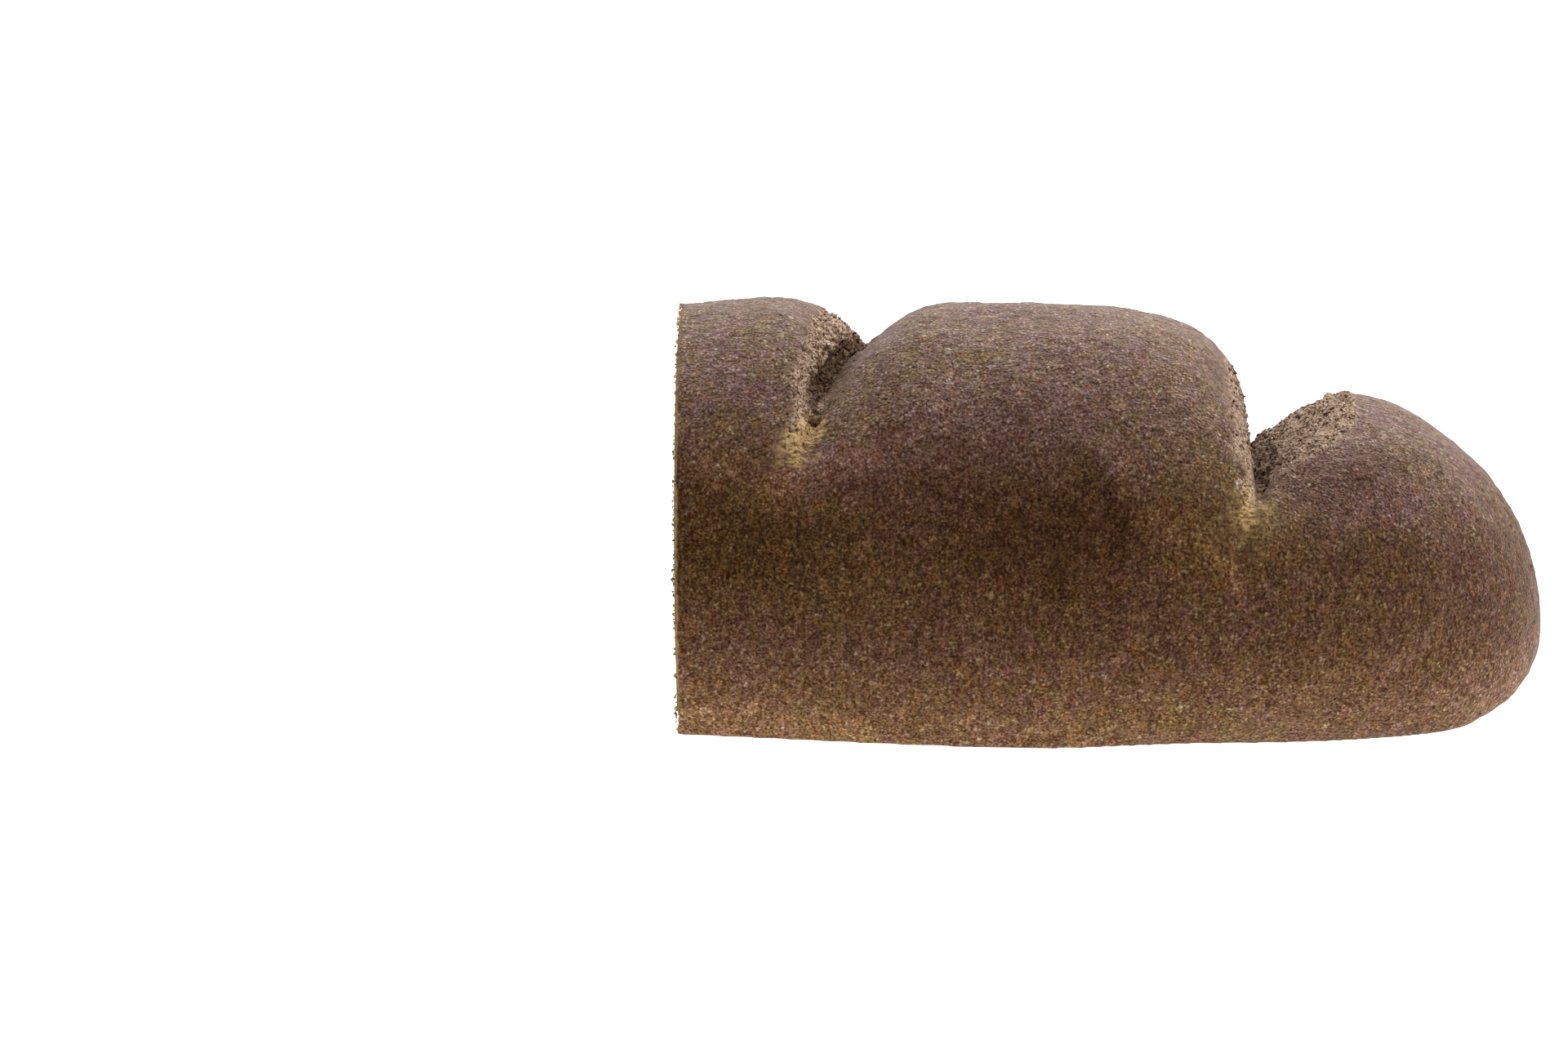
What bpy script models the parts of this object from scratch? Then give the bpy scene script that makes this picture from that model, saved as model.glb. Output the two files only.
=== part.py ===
"""Spelt sourdough bread: what is left of a long hearth loaf after its first slices are cut off.

The loaf lies along X and rests on a flat base at z = 0. Its cut face looks to -X and its rounded
end to +X. Two slashes opened in the oven and part the dome into three lumps, each slash with one
smooth shoulder and one torn face. All sizes are in metres.
"""

import math

import bmesh
import bpy
from mathutils import Vector, noise

# Length and dome
LENGTH = 0.1825
CUT_X = -0.0925
TIP_X = CUT_X + LENGTH
TIP_Z = 0.0165
LEFT_TOP = 0.0810
LEFT_TOP_X = -0.077
LEFT_FALL = 0.0015
MIDDLE_TOP = 0.0803
MIDDLE_TOP_X = -0.009
RIGHT_TOP = 0.0620
RIGHT_TOP_X = 0.044
DOME_POWER = 2.2
MIDDLE_POWER = 1.9
RIGHT_POWER = 1.98
MERGE_X = (0.010, 0.045)

# Width, belly and base
BELLY_HALF_WIDTH = 0.0530
BELLY_AT_CUT = 0.0495
BELLY_POWER = 2.6
BELLY_Z = 0.029
BELLY_DROP_X = 0.020
BACK_WIDTH = 0.985
BASE_INSET = 0.0062
BASE_INSET_AT_CUT = 0.0082
BASE_INSET_AT_END = 0.0108
INSET_MIDDLE_X = (-0.020, 0.020)
WALL_POWER = 2.2
UNDERSIDE_REACH = 0.0246
UNDERSIDE_POWER = 2.1

# The cut and the two slashes. A station is a place along X at y = 0, and a slant is how far the
# cut or a slash leans towards +X for each metre towards +Y. A torn face lies on one side of a
# slash's valley, and the smooth shoulder of the middle lump on the other.
CUT_SLANT = -0.052
FIRST_STATION = -0.0550
FIRST_SLANT = 0.24
FIRST_BEND = 4.5
FIRST_DEPTH = 0.0112
FIRST_REACH = 0.018
FIRST_POWER = 2.0
FIRST_TORN_SHARE = 0.6
FIRST_SHOULDER = 0.0175
SECOND_STATION = 0.0278
SECOND_SLANT = 0.03
SECOND_DEPTH = 0.0275
SECOND_RIDGE = 0.0160
SECOND_REACH = 0.0215
SECOND_POWER = 1.25
SECOND_TORN_SHARE = 1.0
SECOND_SHOULDER = 0.032
SECOND_SHOULDER_POWER = 3.1
GAPE_ENDS = (-0.045, 0.070)
GAPE_POWER = 1.5
NARROWEST_REACH = 0.0001
WHOLE_CRUST = 2.0
FRONT_END_SHARE = 0.42
FRONT_END_POWER = 1.2
BACK_END_SHARE = 0.15
BACK_END_POWER = 0.5
RIM_SOFTNESS = 0.16

# Relief of the crust: broad dents, wrinkles and the crags of a torn face
DENT_SIZE = 0.035
DENT_DEPTH = 0.0008
WRINKLE_SIZE = 0.012
WRINKLE_DEPTH = 0.00035
CRAG_SIZE = 0.0055
CRAG_DEPTH = 0.0017
RELIEF_START_Z = 0.010
CRAG_START_Z = (0.040, 0.052)
CRAG_RIM = (-0.2, 0.1)

# The cut face, and the gap where the crumb came away from the lower crust
FACE_MIDDLE_Z = 0.0365
FACE_RING_POWER = 1.6
GAP_TURN = 0.155
GAP_HALF_TURN = 0.052
GAP_IN = 0.090
GAP_HALF_WIDTH = 0.045
GAP_DEPTH = 0.0065

# How the surface is divided before it is thinned out
AROUND = 180
FACE_RINGS = 24
BODY_RINGS = 112
END_RINGS = 34
END_START = 0.048
BASE_SHARE = 0.28
BELLY_SHARE = 0.47
TRIANGLES = 9400

CRUST_COLOUR = (0.130, 0.073, 0.043, 1.0)
CRUST_ROUGHNESS = 0.8


def smooth(t):
    """A soft step from 0 to 1 as t goes from 0 to 1."""
    t = min(max(t, 0.0), 1.0)
    return t * t * (3.0 - 2.0 * t)


def soft_step(value, start, end):
    """A soft step from 0 at one value to 1 at the other."""
    return smooth((value - start) / (end - start))


def oval(t, power):
    """Height at t of an oval of size 1: a circle at power 2, and squarer above."""
    return max(0.0, 1.0 - min(abs(t), 1.0) ** power) ** (1.0 / power)


def mix(a, b, t):
    return a + (b - a) * t


def belly_height(x):
    """Height of the loaf's widest line, which drops towards the rounded end."""
    return mix(BELLY_Z, TIP_Z, soft_step(x, BELLY_DROP_X, TIP_X))


def half_width(x):
    """Half the loaf's width at its belly, seen from above."""
    if x < MIDDLE_TOP_X:
        away = (MIDDLE_TOP_X - x) / (MIDDLE_TOP_X - CUT_X)
        return mix(BELLY_HALF_WIDTH, BELLY_AT_CUT, away * away)
    return BELLY_HALF_WIDTH * oval((x - MIDDLE_TOP_X) / (TIP_X - MIDDLE_TOP_X), BELLY_POWER)


def base_half_width(x):
    """Half the width of the flat base: the lower wall leans in by the inset."""
    near_cut = soft_step(x, INSET_MIDDLE_X[0], CUT_X)
    near_end = soft_step(x, INSET_MIDDLE_X[0], INSET_MIDDLE_X[1])
    inset = mix(mix(BASE_INSET, BASE_INSET_AT_CUT, near_cut), BASE_INSET_AT_END, near_end)
    return half_width(x) * (1.0 - inset / BELLY_HALF_WIDTH)


def underside(x):
    """1 along the flat base, falling to 0 where the rounded end lifts to its tip."""
    return oval(max(0.0, x - TIP_X + UNDERSIDE_REACH) / UNDERSIDE_REACH, UNDERSIDE_POWER)


def right_lump(x):
    """Height of the crest of the lump at the rounded end."""
    along = max(0.0, x - RIGHT_TOP_X) / (TIP_X - RIGHT_TOP_X)
    return TIP_Z + (RIGHT_TOP - TIP_Z) * oval(along, RIGHT_POWER)


def left_and_middle(x):
    """Height of the crest of the other two lumps, as it would be without slashes."""
    if x < MIDDLE_TOP_X:
        away = (LEFT_TOP_X - x) / (LEFT_TOP_X - CUT_X)
        left = LEFT_TOP - LEFT_FALL * max(0.0, away)
        return mix(MIDDLE_TOP, left, soft_step(x, MIDDLE_TOP_X, LEFT_TOP_X))
    along = (x - MIDDLE_TOP_X) / (TIP_X - MIDDLE_TOP_X)
    return TIP_Z + (MIDDLE_TOP - TIP_Z) * oval(along, MIDDLE_POWER)


def envelope(x):
    """Height that the crest would have if the three lumps ran into one another."""
    return mix(left_and_middle(x), right_lump(x), soft_step(x, MERGE_X[0], MERGE_X[1]))


def gape(y):
    """How wide a slash stands open at y: 1 near its middle, 0 where it ends."""
    middle = (GAPE_ENDS[0] + GAPE_ENDS[1]) / 2
    half = (GAPE_ENDS[1] - GAPE_ENDS[0]) / 2
    return max(0.0, 1.0 - ((y - middle) / half) ** 2) ** GAPE_POWER


def closing(share, side):
    """How deep a slash is at a share of the dome's height: 1 at the crest, 0 where it ends."""
    if side < 0:
        return max(0.0, (share - FRONT_END_SHARE) / (1.0 - FRONT_END_SHARE)) ** FRONT_END_POWER
    return max(0.0, (share - BACK_END_SHARE) / (1.0 - BACK_END_SHARE)) ** BACK_END_POWER


def torn_side(station, y):
    """Place across the side of a slash that tore, 0 in the valley and 1 where whole crust starts."""
    if station <= FIRST_STATION:
        return (FIRST_STATION - station) / max(FIRST_REACH * gape(y), NARROWEST_REACH)
    if station >= SECOND_STATION:
        return (station - SECOND_STATION) / max(SECOND_REACH * gape(y), NARROWEST_REACH)
    return WHOLE_CRUST


def soft_rest(place):
    """What is left of the way to the rim, with the corner at the rim rounded off."""
    rest = 1.0 - min(WHOLE_CRUST, place)
    return (rest + math.sqrt(rest * rest + RIM_SOFTNESS**2)) / (1.0 + math.sqrt(1.0 + RIM_SOFTNESS**2))


def crest(station, y):
    """Height of the three lumps with the valleys of the slashes between them."""
    if station <= FIRST_STATION:
        rest = max(0.0, 1.0 - torn_side(station, y))
        return left_and_middle(station) - FIRST_DEPTH * rest**FIRST_POWER
    if station >= SECOND_STATION:
        return right_lump(station) - SECOND_RIDGE * soft_rest(torn_side(station, y)) ** SECOND_POWER
    from_first = min(1.0, (station - FIRST_STATION) / FIRST_SHOULDER)
    to_second = min(1.0, (SECOND_STATION - station) / SECOND_SHOULDER)
    fall = FIRST_DEPTH * (1.0 - from_first) ** 2
    fall += SECOND_DEPTH * (1.0 - oval(1.0 - to_second, SECOND_SHOULDER_POWER))
    return left_and_middle(station) - fall


def slant(station):
    """How far the loops round the loaf lean: as the cut and the slashes do, and not at the tip."""
    if station < FIRST_STATION:
        return mix(CUT_SLANT, FIRST_SLANT, soft_step(station, CUT_X, FIRST_STATION))
    if station < SECOND_STATION:
        return mix(FIRST_SLANT, SECOND_SLANT, soft_step(station, FIRST_STATION, SECOND_STATION))
    return mix(SECOND_SLANT, 0.0, soft_step(station, SECOND_STATION, TIP_X))


def bow(station, y):
    """How far a loop bows towards -X at the back, as the first slash does."""
    from_cut = soft_step(station, CUT_X, FIRST_STATION)
    from_second = soft_step(station, SECOND_STATION, FIRST_STATION)
    return FIRST_BEND * from_cut * from_second * max(0.0, y) ** 2


def section_point(x, station, turn):
    """Point (y, z) of the crust at x. A turn runs from 0 under the loaf, over the front, to 1."""
    side = -1.0 if turn < 0.5 else 1.0
    climb = 2.0 * min(turn, 1.0 - turn)
    belly = belly_height(x)
    reach = half_width(x) * (1.0 if side < 0 else BACK_WIDTH)
    base = base_half_width(x) * (1.0 if side < 0 else BACK_WIDTH)
    if climb < BASE_SHARE:
        y = base * climb / BASE_SHARE
        return side * y, belly * (1.0 - underside(x))
    if climb < BELLY_SHARE:
        up = (climb - BASE_SHARE) / (BELLY_SHARE - BASE_SHARE)
        y = reach - (reach - base) * (1.0 - up) ** WALL_POWER
        return side * y, belly * (1.0 - underside(x) * (1.0 - up))
    angle = math.pi / 2 * (climb - BELLY_SHARE) / (1.0 - BELLY_SHARE)
    y = side * reach * abs(math.cos(angle)) ** (2.0 / DOME_POWER)
    share = math.sin(angle) ** (2.0 / DOME_POWER)
    fall = (envelope(x) - crest(station, y)) * closing(share, side)
    return y, belly + (envelope(x) - belly) * share - fall


def relief(point, station):
    """Height of dents, wrinkles and crags over the crust's plain form."""
    above_base = soft_step(point.z, 0.0, RELIEF_START_Z)
    dents = DENT_DEPTH * noise.noise(point / DENT_SIZE)
    wrinkles = WRINKLE_DEPTH * noise.noise(point / WRINKLE_SIZE)
    rim = FIRST_TORN_SHARE if station <= FIRST_STATION else SECOND_TORN_SHARE
    torn = soft_step(torn_side(station, point.y), rim + CRAG_RIM[1], rim + CRAG_RIM[0])
    torn *= soft_step(point.z, CRAG_START_Z[0], CRAG_START_Z[1])
    crags = CRAG_DEPTH * noise.turbulence(point / CRAG_SIZE, 3, True, noise_basis="PERLIN_ORIGINAL")
    return above_base * (dents + wrinkles) + torn * (crags - CRAG_DEPTH / 2)


def crust_point(station, turn):
    """Point on the crust for a loop's station and a turn round it."""
    y = 0.0
    for _ in range(3):
        x = station + slant(station) * y - bow(station, y)
        y, z = section_point(x, station, turn)
    point = Vector((x, y, z))
    middle = Vector((x, 0.0, belly_height(x)))
    outward = (point - middle).normalized()
    return point + outward * relief(point, station)


def face_point(share, turn):
    """Point on the cut face, at a share of the way from its middle to its rim."""
    rim = crust_point(CUT_X, turn)
    middle = Vector((CUT_X, 0.0, FACE_MIDDLE_Z))
    point = middle.lerp(rim, share)
    along = max(0.0, 1.0 - ((turn - GAP_TURN) / GAP_HALF_TURN) ** 2)
    across = max(0.0, 1.0 - ((1.0 - share - GAP_IN) / GAP_HALF_WIDTH) ** 2)
    point.x += GAP_DEPTH * math.sqrt(along * across)
    return point


def loop_station(loop):
    """Station of a loop along the crust: evenly spaced, then closer together at the rounded end."""
    if loop <= BODY_RINGS:
        return mix(CUT_X, END_START, loop / BODY_RINGS)
    turned = math.pi / 2 * (loop - BODY_RINGS) / END_RINGS
    return END_START + (TIP_X - END_START) * math.sin(turned)


def loaf_mesh():
    """A ball whose loops are laid out: the first ones across the cut face, the rest along the loaf."""
    rings = FACE_RINGS + BODY_RINGS + END_RINGS
    shape = bmesh.new()
    bmesh.ops.create_uvsphere(shape, u_segments=AROUND, v_segments=rings, radius=1.0)
    for vertex in shape.verts:
        ring = round((0.5 + math.asin(max(-1.0, min(1.0, vertex.co.z))) / math.pi) * rings)
        turn = (math.atan2(vertex.co.y, vertex.co.x) / math.tau) % 1.0
        if ring < FACE_RINGS:
            vertex.co = face_point(1.0 - (1.0 - ring / FACE_RINGS) ** FACE_RING_POWER, turn)
        else:
            vertex.co = crust_point(loop_station(ring - FACE_RINGS), turn)
    if shape.calc_volume(signed=True) < 0:
        bmesh.ops.reverse_faces(shape, faces=shape.faces)
    lowest = [min(vertex.co[axis] for vertex in shape.verts) for axis in range(3)]
    highest = [max(vertex.co[axis] for vertex in shape.verts) for axis in range(3)]
    to_middle = Vector([-(low + high) / 2 for low, high in zip(lowest, highest)])
    to_middle.z = -lowest[2]
    bmesh.ops.translate(shape, verts=shape.verts, vec=to_middle)
    mesh = bpy.data.meshes.new("loaf")
    shape.to_mesh(mesh)
    shape.free()
    return mesh


def crust_material():
    material = bpy.data.materials.new("crust")
    material.use_nodes = True
    shader = material.node_tree.nodes["Principled BSDF"]
    shader.inputs["Base Color"].default_value = CRUST_COLOUR
    shader.inputs["Roughness"].default_value = CRUST_ROUGHNESS
    shader.inputs["Metallic"].default_value = 0.0
    return material


def build():
    for old in list(bpy.data.objects):
        bpy.data.objects.remove(old)
    loaf = bpy.data.objects.new("loaf", loaf_mesh())
    bpy.context.scene.collection.objects.link(loaf)
    loaf.data.materials.append(crust_material())
    loaf.data.shade_smooth()
    thinned = loaf.modifiers.new("thinned", "DECIMATE")
    thinned.ratio = TRIANGLES / (2 * len(loaf.data.polygons))


build()
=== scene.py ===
# %% [markdown]
# # A cut loaf of spelt sourdough bread
#
# The bread is a long hearth loaf whose first slices are gone. It has a dark, finely wrinkled crust
# full of bran, two slashes that tore open in the oven, a rounded end, and at the other end a flat
# cut face with a pale open crumb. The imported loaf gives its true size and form. This lesson lays a
# fine skin over that form, cuts the crumb's pores, adds what crumbles off, and gives each of them
# its finish. Lengths are in millimetres in the lesson's own numbers, and MM turns them into metres.

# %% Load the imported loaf
import math

import bmesh
import bpy
import numpy as np
from mathutils import Matrix, Vector, bvhtree, noise


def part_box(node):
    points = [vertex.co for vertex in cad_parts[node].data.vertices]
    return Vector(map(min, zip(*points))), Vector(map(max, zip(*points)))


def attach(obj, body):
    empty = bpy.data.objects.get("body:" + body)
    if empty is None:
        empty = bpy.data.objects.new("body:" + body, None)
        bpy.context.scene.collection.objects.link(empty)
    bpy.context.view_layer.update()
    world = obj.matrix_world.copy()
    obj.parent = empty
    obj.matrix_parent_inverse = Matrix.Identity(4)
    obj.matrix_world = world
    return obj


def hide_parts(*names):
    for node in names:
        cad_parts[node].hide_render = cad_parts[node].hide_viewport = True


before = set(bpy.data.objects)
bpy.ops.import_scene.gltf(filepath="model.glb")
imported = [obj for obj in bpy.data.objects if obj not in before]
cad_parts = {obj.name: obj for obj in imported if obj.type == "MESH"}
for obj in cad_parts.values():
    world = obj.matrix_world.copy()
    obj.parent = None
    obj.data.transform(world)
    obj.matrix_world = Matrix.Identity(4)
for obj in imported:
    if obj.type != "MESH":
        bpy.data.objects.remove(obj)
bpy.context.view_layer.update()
MM = 0.001
LOAF_LOW, LOAF_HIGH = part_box("loaf")


def placed(name, data):
    """A new object in the scene."""
    made = bpy.data.objects.new(name, data)
    bpy.context.scene.collection.objects.link(made)
    return made


print("packed loaf, mm:", [round((high - low) / MM, 1) for low, high in zip(LOAF_LOW, LOAF_HIGH)])

# %% [markdown]
# ## Camera
#
# A product photograph of bread is taken from a little above the table with a long lens, so that the
# loaf keeps its proportions. The camera could be placed by eye, but four plain values describe it
# well: where it aims, how far away it stands, how high it looks down and how far it is turned.

# %% Camera
AIM = Vector((-67.8, -1.9, 34.2)) * MM
DISTANCE = 700 * MM
LOOK_DOWN = math.radians(16.25)
TURNED = math.radians(3.0)
LENS = 75.2
SENSOR = 36.0
NEAREST_SEEN = 10 * MM

level = Vector((-math.sin(TURNED), math.cos(TURNED), 0.0))
gaze = level * math.cos(LOOK_DOWN) + Vector((0.0, 0.0, -math.sin(LOOK_DOWN)))
camera = placed("camera", bpy.data.cameras.new("camera"))
camera.data.lens = LENS
camera.data.sensor_width = SENSOR
camera.data.clip_start = NEAREST_SEEN
camera.location = AIM - gaze * DISTANCE
camera.rotation_euler = gaze.to_track_quat("-Z", "Y").to_euler()
bpy.context.scene.camera = camera
print("camera stands at, mm:", [round(value / MM) for value in camera.location])

# %% [markdown]
# ## Light and floor
#
# Such bread is shot in a white tent: a bright roof and back, bright sides, a floor that glows, and
# only the dim room on the camera's side, so the crust is darkest where it faces the camera. An image
# of a studio could light it. Five large soft lamps and a pale floor with a little glow of its own
# make the same tent, and a plain view transform keeps the whites white.

# %% Light
ROOM_LIGHT = 0.04
WHITE = (1.0, 1.0, 1.0, 1.0)
# Where each lamp stands, where it aims and its two sides, in metres, and its power in watts.
LAMPS = {
    "roof": ((0.0, 0.15, 0.75), (0.0, 0.02, 0.0), (1.1, 0.8), 5.9),
    "far_roof": ((0.0, 0.5, 0.7), (0.0, 0.0, 0.05), (1.1, 0.5), 3.8),
    "back": ((0.0, 0.85, 0.42), (0.0, 0.0, 0.05), (1.3, 0.7), 8.2),
    "left": ((-0.75, 0.05, 0.35), (0.0, 0.0, 0.04), (0.7, 0.6), 2.6),
    "right": ((0.75, 0.05, 0.35), (0.0, 0.0, 0.04), (0.7, 0.6), 6.8),
}


def soft_lamp(name, place, towards, sides, power):
    """A rectangular lamp that lights the bread and isn't seen itself."""
    lamp = bpy.data.lights.new(name, "AREA")
    lamp.shape = "RECTANGLE"
    lamp.size, lamp.size_y = sides
    lamp.energy = power
    holder = placed(name, lamp)
    holder.location = place
    holder.rotation_euler = (Vector(towards) - Vector(place)).to_track_quat("-Z", "Y").to_euler()
    holder.visible_camera = False


for name, lamp in LAMPS.items():
    soft_lamp(name, *lamp)

room = bpy.data.worlds.new("room")
room.use_nodes = True
bpy.context.scene.world = room
backdrop = room.node_tree.nodes["Background"]
backdrop.inputs["Color"].default_value = WHITE
seen_directly = room.node_tree.nodes.new("ShaderNodeLightPath").outputs["Is Camera Ray"]
room_level = room.node_tree.nodes.new("ShaderNodeMapRange")
room_level.inputs["To Min"].default_value = ROOM_LIGHT
room_level.inputs["To Max"].default_value = 1.0
room.node_tree.links.new(seen_directly, room_level.inputs["Value"])
room.node_tree.links.new(room_level.outputs["Result"], backdrop.inputs["Strength"])
bpy.context.scene.view_settings.view_transform = "Standard"
print("lamps:", list(LAMPS))

# %% Floor
FLOOR_HALF = 6.0
FLOOR_GAP = 0.2 * MM
FLOOR_LOOK = {
    "Base Color": (0.62, 0.62, 0.62, 1.0),
    "Roughness": 0.9,
    "Emission Color": WHITE,
    "Emission Strength": 1.08,
}


def mesh_of(shape, name):
    """The bmesh as a mesh of its own."""
    mesh = bpy.data.meshes.new(name)
    shape.to_mesh(mesh)
    shape.free()
    return mesh


floor_shape = bmesh.new()
bmesh.ops.create_grid(floor_shape, x_segments=1, y_segments=1, size=FLOOR_HALF)
bmesh.ops.translate(floor_shape, verts=floor_shape.verts, vec=(0.0, 0.0, -FLOOR_GAP))
floor = placed("floor", mesh_of(floor_shape, "floor"))

pale = bpy.data.materials.new("pale floor")
pale.use_nodes = True
pale_shader = pale.node_tree.nodes["Principled BSDF"]
for name, value in FLOOR_LOOK.items():
    pale_shader.inputs[name].default_value = value
floor.data.materials.append(pale)
print("floor, m:", 2 * FLOOR_HALF, "to a side")

# %% [markdown]
# ## The lines of the loaf
#
# Everything on the crust is found from three lines seen from above: the plane of the cut, and the
# valleys of the two slashes. Each could be drawn as a curve and measured from, but a short formula
# does as well, and the distance across it sorts torn faces, hollows and smooth shoulders. All of
# these functions take whole columns of points at once.

# %% The lines of the loaf
CUT_SLANT = -0.052
FIRST_AT = -52.4
FIRST_SLANT = 0.24
FIRST_BEND = 0.0045
SECOND_AT = 30.35
SECOND_SLANT = 0.03

CUT_NORMAL = Vector((-1.0, CUT_SLANT, 0.0)).normalized()
CUT_AT = min(point.co.x - CUT_SLANT * point.co.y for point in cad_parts["loaf"].data.vertices) / MM


def step(value, start, end):
    """A soft step from 0 at one value to 1 at the other."""
    t = np.clip((value - start) / (end - start), 0.0, 1.0)
    return t * t * (3.0 - 2.0 * t)


def behind_cut(spots):
    """How far behind the plane of the cut each spot lies."""
    return (spots[:, 0] - CUT_AT - CUT_SLANT * spots[:, 1]) / math.hypot(1.0, CUT_SLANT)


def past_first(spots):
    """How far each spot lies past the first slash's valley, towards the rounded end."""
    y = spots[:, 1]
    return spots[:, 0] - (FIRST_AT + FIRST_SLANT * y - FIRST_BEND * np.maximum(0.0, y) ** 2)


def past_second(spots):
    """The same for the second slash."""
    return spots[:, 0] - (SECOND_AT + SECOND_SLANT * spots[:, 1])


def grain(spots, size, kind=noise.noise, *settings):
    """A value of noise for each spot, with features of about that size."""
    return np.array([kind(place, *settings) for place in (spots / size).tolist()])


def layered(spots, layers):
    """Layers of noise added up. Each has the size of its features and how much it counts."""
    return sum(height * grain(spots, size) for size, height in layers.items())


print("the cut crosses the middle at x =", round(CUT_AT, 2))

# %% [markdown]
# ## Bare form of the crust
#
# The crust is one closed skin: the dome, the flat base and, at the cut, a narrow lip of sliced
# crust round a shallow pocket that the crumb fills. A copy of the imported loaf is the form. Its
# faces on the cut are taken away, and the open rim is extruded inwards for the lip and backwards
# for the pocket. A Boolean would cut the pocket too, but extruding keeps the lip the same width.

# %% Bare form of the crust
MERGE_DISTANCE = 0.000001
FLAT_TO_CUT = 0.9
RIM_ANGLE = math.radians(35)
LIP = 2.2
LIP_SLOPE = 0.7
POCKET = 5.5

form = bmesh.new()
form.from_mesh(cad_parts["loaf"].data)
bmesh.ops.remove_doubles(form, verts=form.verts, dist=MERGE_DISTANCE)
form.normal_update()


def rim_edge(edge):
    """Whether the flat of the cut meets the skin along this edge."""
    flat = max(face.normal.dot(CUT_NORMAL) for face in edge.link_faces) > FLAT_TO_CUT
    return flat and edge.calc_face_angle(0.0) > RIM_ANGLE


crown = max(form.faces, key=lambda face: face.calc_center_median().z)
skin_faces = {crown}
waiting = [crown]
while waiting:
    for edge in waiting.pop().edges:
        if rim_edge(edge):
            continue
        for face in edge.link_faces:
            if face not in skin_faces:
                skin_faces.add(face)
                waiting.append(face)
sliced = [face for face in form.faces if face not in skin_faces]
bmesh.ops.delete(form, geom=sliced, context="FACES")
skin_tree = bvhtree.BVHTree.FromBMesh(form)
rim = [edge for edge in form.edges if edge.is_boundary]
print("skin faces", len(form.faces), "sliced faces", len(sliced), "rim edges", len(rim))

# %% Lip and pocket
def extruded(shape, edges):
    """The points and open edges that grow out of these edges."""
    grown = bmesh.ops.extrude_edge_only(shape, edges=edges)["geom"]
    points = [part for part in grown if isinstance(part, bmesh.types.BMVert)]
    edges = [part for part in grown if isinstance(part, bmesh.types.BMEdge) and part.is_boundary]
    return points, edges


form.normal_update()
inward = {}
for edge in rim:
    for vertex in edge.verts:
        across = vertex.normal - vertex.normal.dot(CUT_NORMAL) * CUT_NORMAL
        inward[tuple(vertex.co)] = -across.normalized()
lip_points, lip_edges = extruded(form, rim)
for vertex in lip_points:
    vertex.co += inward[tuple(vertex.co)] * LIP * MM - CUT_NORMAL * LIP_SLOPE * MM
pocket_points, pocket_edges = extruded(form, lip_edges)
bmesh.ops.translate(form, verts=pocket_points, vec=-CUT_NORMAL * POCKET * MM)
bmesh.ops.holes_fill(form, edges=pocket_edges, sides=0)
bmesh.ops.recalc_face_normals(form, faces=form.faces)
closed = all(edge.is_manifold for edge in form.edges)
print("closed:", closed, "volume, l:", round(form.calc_volume() * 1000, 3))

# %% [markdown]
# ## Fine skin
#
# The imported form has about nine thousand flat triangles, and bread has none. A voxel remesh lays an
# even net over it. Subdividing would be the other way, but it keeps the uneven triangles, and
# wrinkles pushed into those would be uneven too.

# %% Fine skin
SKIN_VOXEL = 0.6


def column(mesh, what="co"):
    """The places or normals of a mesh's points as rows."""
    rows = np.empty(len(mesh.vertices) * 3, np.float32)
    mesh.vertices.foreach_get(what, rows)
    return rows.reshape(-1, 3).astype(float)


def spots_of(mesh):
    """The places of a mesh's points in millimetres."""
    return column(mesh) / MM


def put_spots(mesh, spots):
    """Moves a mesh's points to these places."""
    mesh.vertices.foreach_set("co", (spots * MM).astype(np.float32).ravel())


def worked(mesh, kind, **settings):
    """The mesh as one modifier leaves it."""
    holder = placed("holder", mesh)
    modifier = holder.modifiers.new("work", kind)
    for name, value in settings.items():
        setattr(modifier, name, value)
    graph = bpy.context.evaluated_depsgraph_get()
    made = bpy.data.meshes.new_from_object(holder.evaluated_get(graph))
    bpy.data.objects.remove(holder)
    return made


skin = worked(mesh_of(form, "form"), "REMESH", mode="VOXEL", voxel_size=SKIN_VOXEL * MM)
print("net of the skin:", len(skin.polygons), "faces")

# %% [markdown]
# ## Where the crust tore
#
# On a slash one side stretched into a smooth shoulder and the other tore open. Three masks say how
# much a spot belongs to a torn face, to a hollow beside one, which gets painted shade, or to the pale
# dough that shows at a slash's end. They steer the relief and the colours later, so that both agree.
# Painting masks by hand would do for a still picture, but not for a shape.

# %% Where the crust tore
# Widths at some places along Y, and the wall's at some heights. A hollow has a left and a right side.
FIRST_WIDTHS = {-50: 0, -46: 2.2, -38: 3.4, -30: 4.6, -15: 6.9, 8: 10, 22: 9.4, 44: 0}
SECOND_RIDGE = {
    -38: 0, -35.6: 3, -34.7: 5, -29.2: 10.4, -23.5: 15.9, -17.4: 19,
    -8.5: 22, 14: 22, 30: 19.6, 50: 12.7, 62: 6, 70: 0,
}
TEAR_EDGE = 1.0
TEAR_ROUGH = {3.1: 1.4, 1.2: 0.7}
FIRST_TEAR_ENDS = (1.8, 0.4)
FIRST_TEAR_HEIGHT = (59, 66)
SECOND_TEAR_HEIGHT = (49, 54)
SECOND_TEAR_FRONT = (-34, -28)
SECOND_TEAR_FOOT = (40, 44)
WALL_STRIP = {50: 2.4, 58: 3.6, 66: 5.2, 70: 5.2, 75: 1.5}
WALL_SHARE = 0.8
WALL_ENDS = -1.0
WALL_RAGGED = 1.3
RIDGE_CALM = 3
FIRST_HOLLOW = {
    -33: (-2.4, -2.2), -27: (-2.3, 0.2), -20: (-2, 2.2), -10: (-2.3, 3),
    3: (-2.8, 3.2), 26: (-2.2, 2.2), 40: (0, 0),
}
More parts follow.
